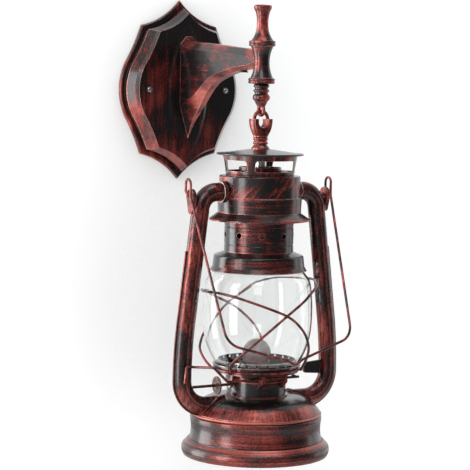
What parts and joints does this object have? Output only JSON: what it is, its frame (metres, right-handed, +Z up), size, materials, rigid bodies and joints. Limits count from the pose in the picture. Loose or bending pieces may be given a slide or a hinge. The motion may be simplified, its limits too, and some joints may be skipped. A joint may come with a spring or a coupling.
{
  "type": "wall sconce",
  "caption": "Wall sconce: a storm lantern with a clear glass globe hangs by linked eyes from a turned column on a cast arm and shield-shaped backplate, in copper-red paint.",
  "frame": {"origin": "on the wall, at the middle of the backplate's back and of its two wall screws", "axes": "+X to the right along the wall, +Y into the wall, +Z up; the lantern hangs at negative Y"},
  "size_m": [0.1612, 0.2145, 0.3886],
  "materials": {
    "cast_paint": "gloss black-brown with copper red dry-brushed over it, worn brighter on the edges",
    "sheet_paint": "gloss black-brown with copper red dry-brushed round the turned forms",
    "wire_paint": "copper red over black on round wire",
    "sleeve_paint": "matt red-brown",
    "tinned_sheet": "tinned sheet, semi-bright",
    "clear_glass": "clear blown glass, smooth",
    "frosted_glass": "frosted, slightly grey-pink",
    "screw_steel": "zinc plated",
    "nickel": "nickel plated",
    "contact_brass": "bare",
    "porcelain": "glazed ceramic, stated as gloss plastic because the list has no ceramic",
    "block_plastic": "pale moulded plastic",
    "bush_rubber": "black"
  },
  "bodies": {
    "wall_side": {"backplate": "cast_paint", "wall_bar": "screw_steel", "plate_screws": "screw_steel", "earth_screw": "screw_steel", "terminal_block": "block_plastic", "arm": "cast_paint", "arm_screws": "screw_steel", "arm_bush": "bush_rubber", "finial": "cast_paint", "tie_rod": "screw_steel", "upper_hook": "cast_paint"},
    "lantern": {"lower_hook": "cast_paint", "hook_nut": "screw_steel", "centre_tube": "tinned_sheet", "cap": "sheet_paint", "vent_cage": "sheet_paint", "bridge": "tinned_sheet", "flue": "tinned_sheet", "upper_drum": "sheet_paint", "inlet_bush": "bush_rubber", "lower_drum": "sheet_paint", "brim": "sheet_paint", "side_tube_left": "sheet_paint", "side_tube_right": "sheet_paint", "drum_socket_left": "sheet_paint", "drum_socket_right": "sheet_paint", "ear_left": "sheet_paint", "ear_right": "sheet_paint", "tank_dome": "sheet_paint", "tank_socket_left": "sheet_paint", "tank_socket_right": "sheet_paint", "tank_base": "sheet_paint", "tank_floor": "sheet_paint", "burner_neck": "sheet_paint", "neck_lugs": "wire_paint", "guide_tab": "sheet_paint", "wick_bush": "wire_paint", "lampholder": "porcelain", "holder_contact": "contact_brass", "holder_cover": "sleeve_paint", "nipple": "screw_steel", "nipple_nut": "screw_steel", "lamp_cap": "nickel", "lamp_bulb": "frosted_glass"},
    "globe_carrier": {"perforated_drum": "sheet_paint", "globe_collar": "sheet_paint", "globe": "clear_glass", "globe_plate": "tinned_sheet", "guard_ring": "wire_paint", "guard_hoop_left": "wire_paint", "guard_hoop_right": "wire_paint"},
    "bail": {"bail": "wire_paint"},
    "lift_lever": {"lift_lever": "wire_paint"},
    "wick_wheel": {"wick_spindle": "wire_paint", "wick_wheel": "wire_paint"}
  },
  "joints": [
    {"name": "lantern_swing", "type": "hinge", "parent": "wall_side", "child": "lantern", "pos_m": [0, -0.1504, -0.0192], "axis": [0, 1, 0], "range_deg": [-20, 20]},
    {"name": "bail_hinge", "type": "hinge", "parent": "lantern", "child": "bail", "pos_m": [0, -0.1504, -0.08704], "axis": [-1, 0, 0], "range_deg": [-8, 148]},
    {"name": "globe_lift", "type": "slide", "parent": "lantern", "child": "globe_carrier", "axis": [0, 0, 1], "range_m": [0, 0.006]},
    {"name": "lever_hinge", "type": "hinge", "parent": "lantern", "child": "lift_lever", "pos_m": [0, -0.1784, -0.23924], "axis": [1, 0, 0], "range_deg": [0, 31.27]},
    {"name": "wick_turn", "type": "hinge", "parent": "lantern", "child": "wick_wheel", "pos_m": [-0.0385, -0.1504, -0.24664], "axis": [1, 0, 0], "continuous": true}
  ],
  "couplings": [
    {"joint": "lever_hinge", "follows": "globe_lift", "rad_per_m": 90.902}
  ]
}
